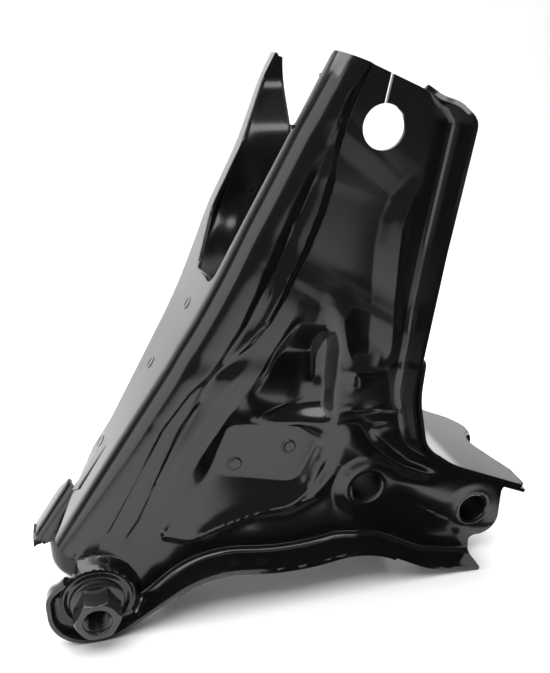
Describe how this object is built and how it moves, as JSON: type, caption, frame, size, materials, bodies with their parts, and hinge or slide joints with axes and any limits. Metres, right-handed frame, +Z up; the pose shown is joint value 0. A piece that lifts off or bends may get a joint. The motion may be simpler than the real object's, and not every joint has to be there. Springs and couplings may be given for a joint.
{
  "type": "control arm",
  "caption": "Boxed pressed-steel suspension control arm with a forked top end, a bolted pivot clevis with a captive flange nut, and a sleeved outboard ear.",
  "frame": {"origin": "on the captive nut's axis, in the face of the near shell that the nut seats on", "axes": "+X from the nut pivot towards the outboard ear, +Y along the pivot bolt from the near shell to the far shell, +Z up towards the forked end"},
  "size_m": [0.316, 0.2011, 0.327],
  "materials": {
    "shell_coat": "glossy black dip coat on pressed steel",
    "plate_coat": "glossy black dip coat on flat sheet",
    "nut_coat": "satin black dip coat on a forged nut",
    "tube_coat": "satin black dip coat on drawn tube",
    "weld_coat": "black dip coat over weld metal"
  },
  "bodies": {
    "root": {"near_shell": "shell_coat", "far_shell": "shell_coat", "end_plate": "plate_coat", "bottom_plate": "plate_coat", "inner_brace": "plate_coat", "weld_nut": "nut_coat", "inboard_sleeve": "tube_coat", "outboard_sleeve": "tube_coat", "sleeve_welds": "weld_coat", "web_spot_welds": "weld_coat", "pad_spot_welds": "weld_coat", "end_plate_spot_welds": "weld_coat", "bottom_flange_spot_welds": "weld_coat"}
  },
  "joints": []
}
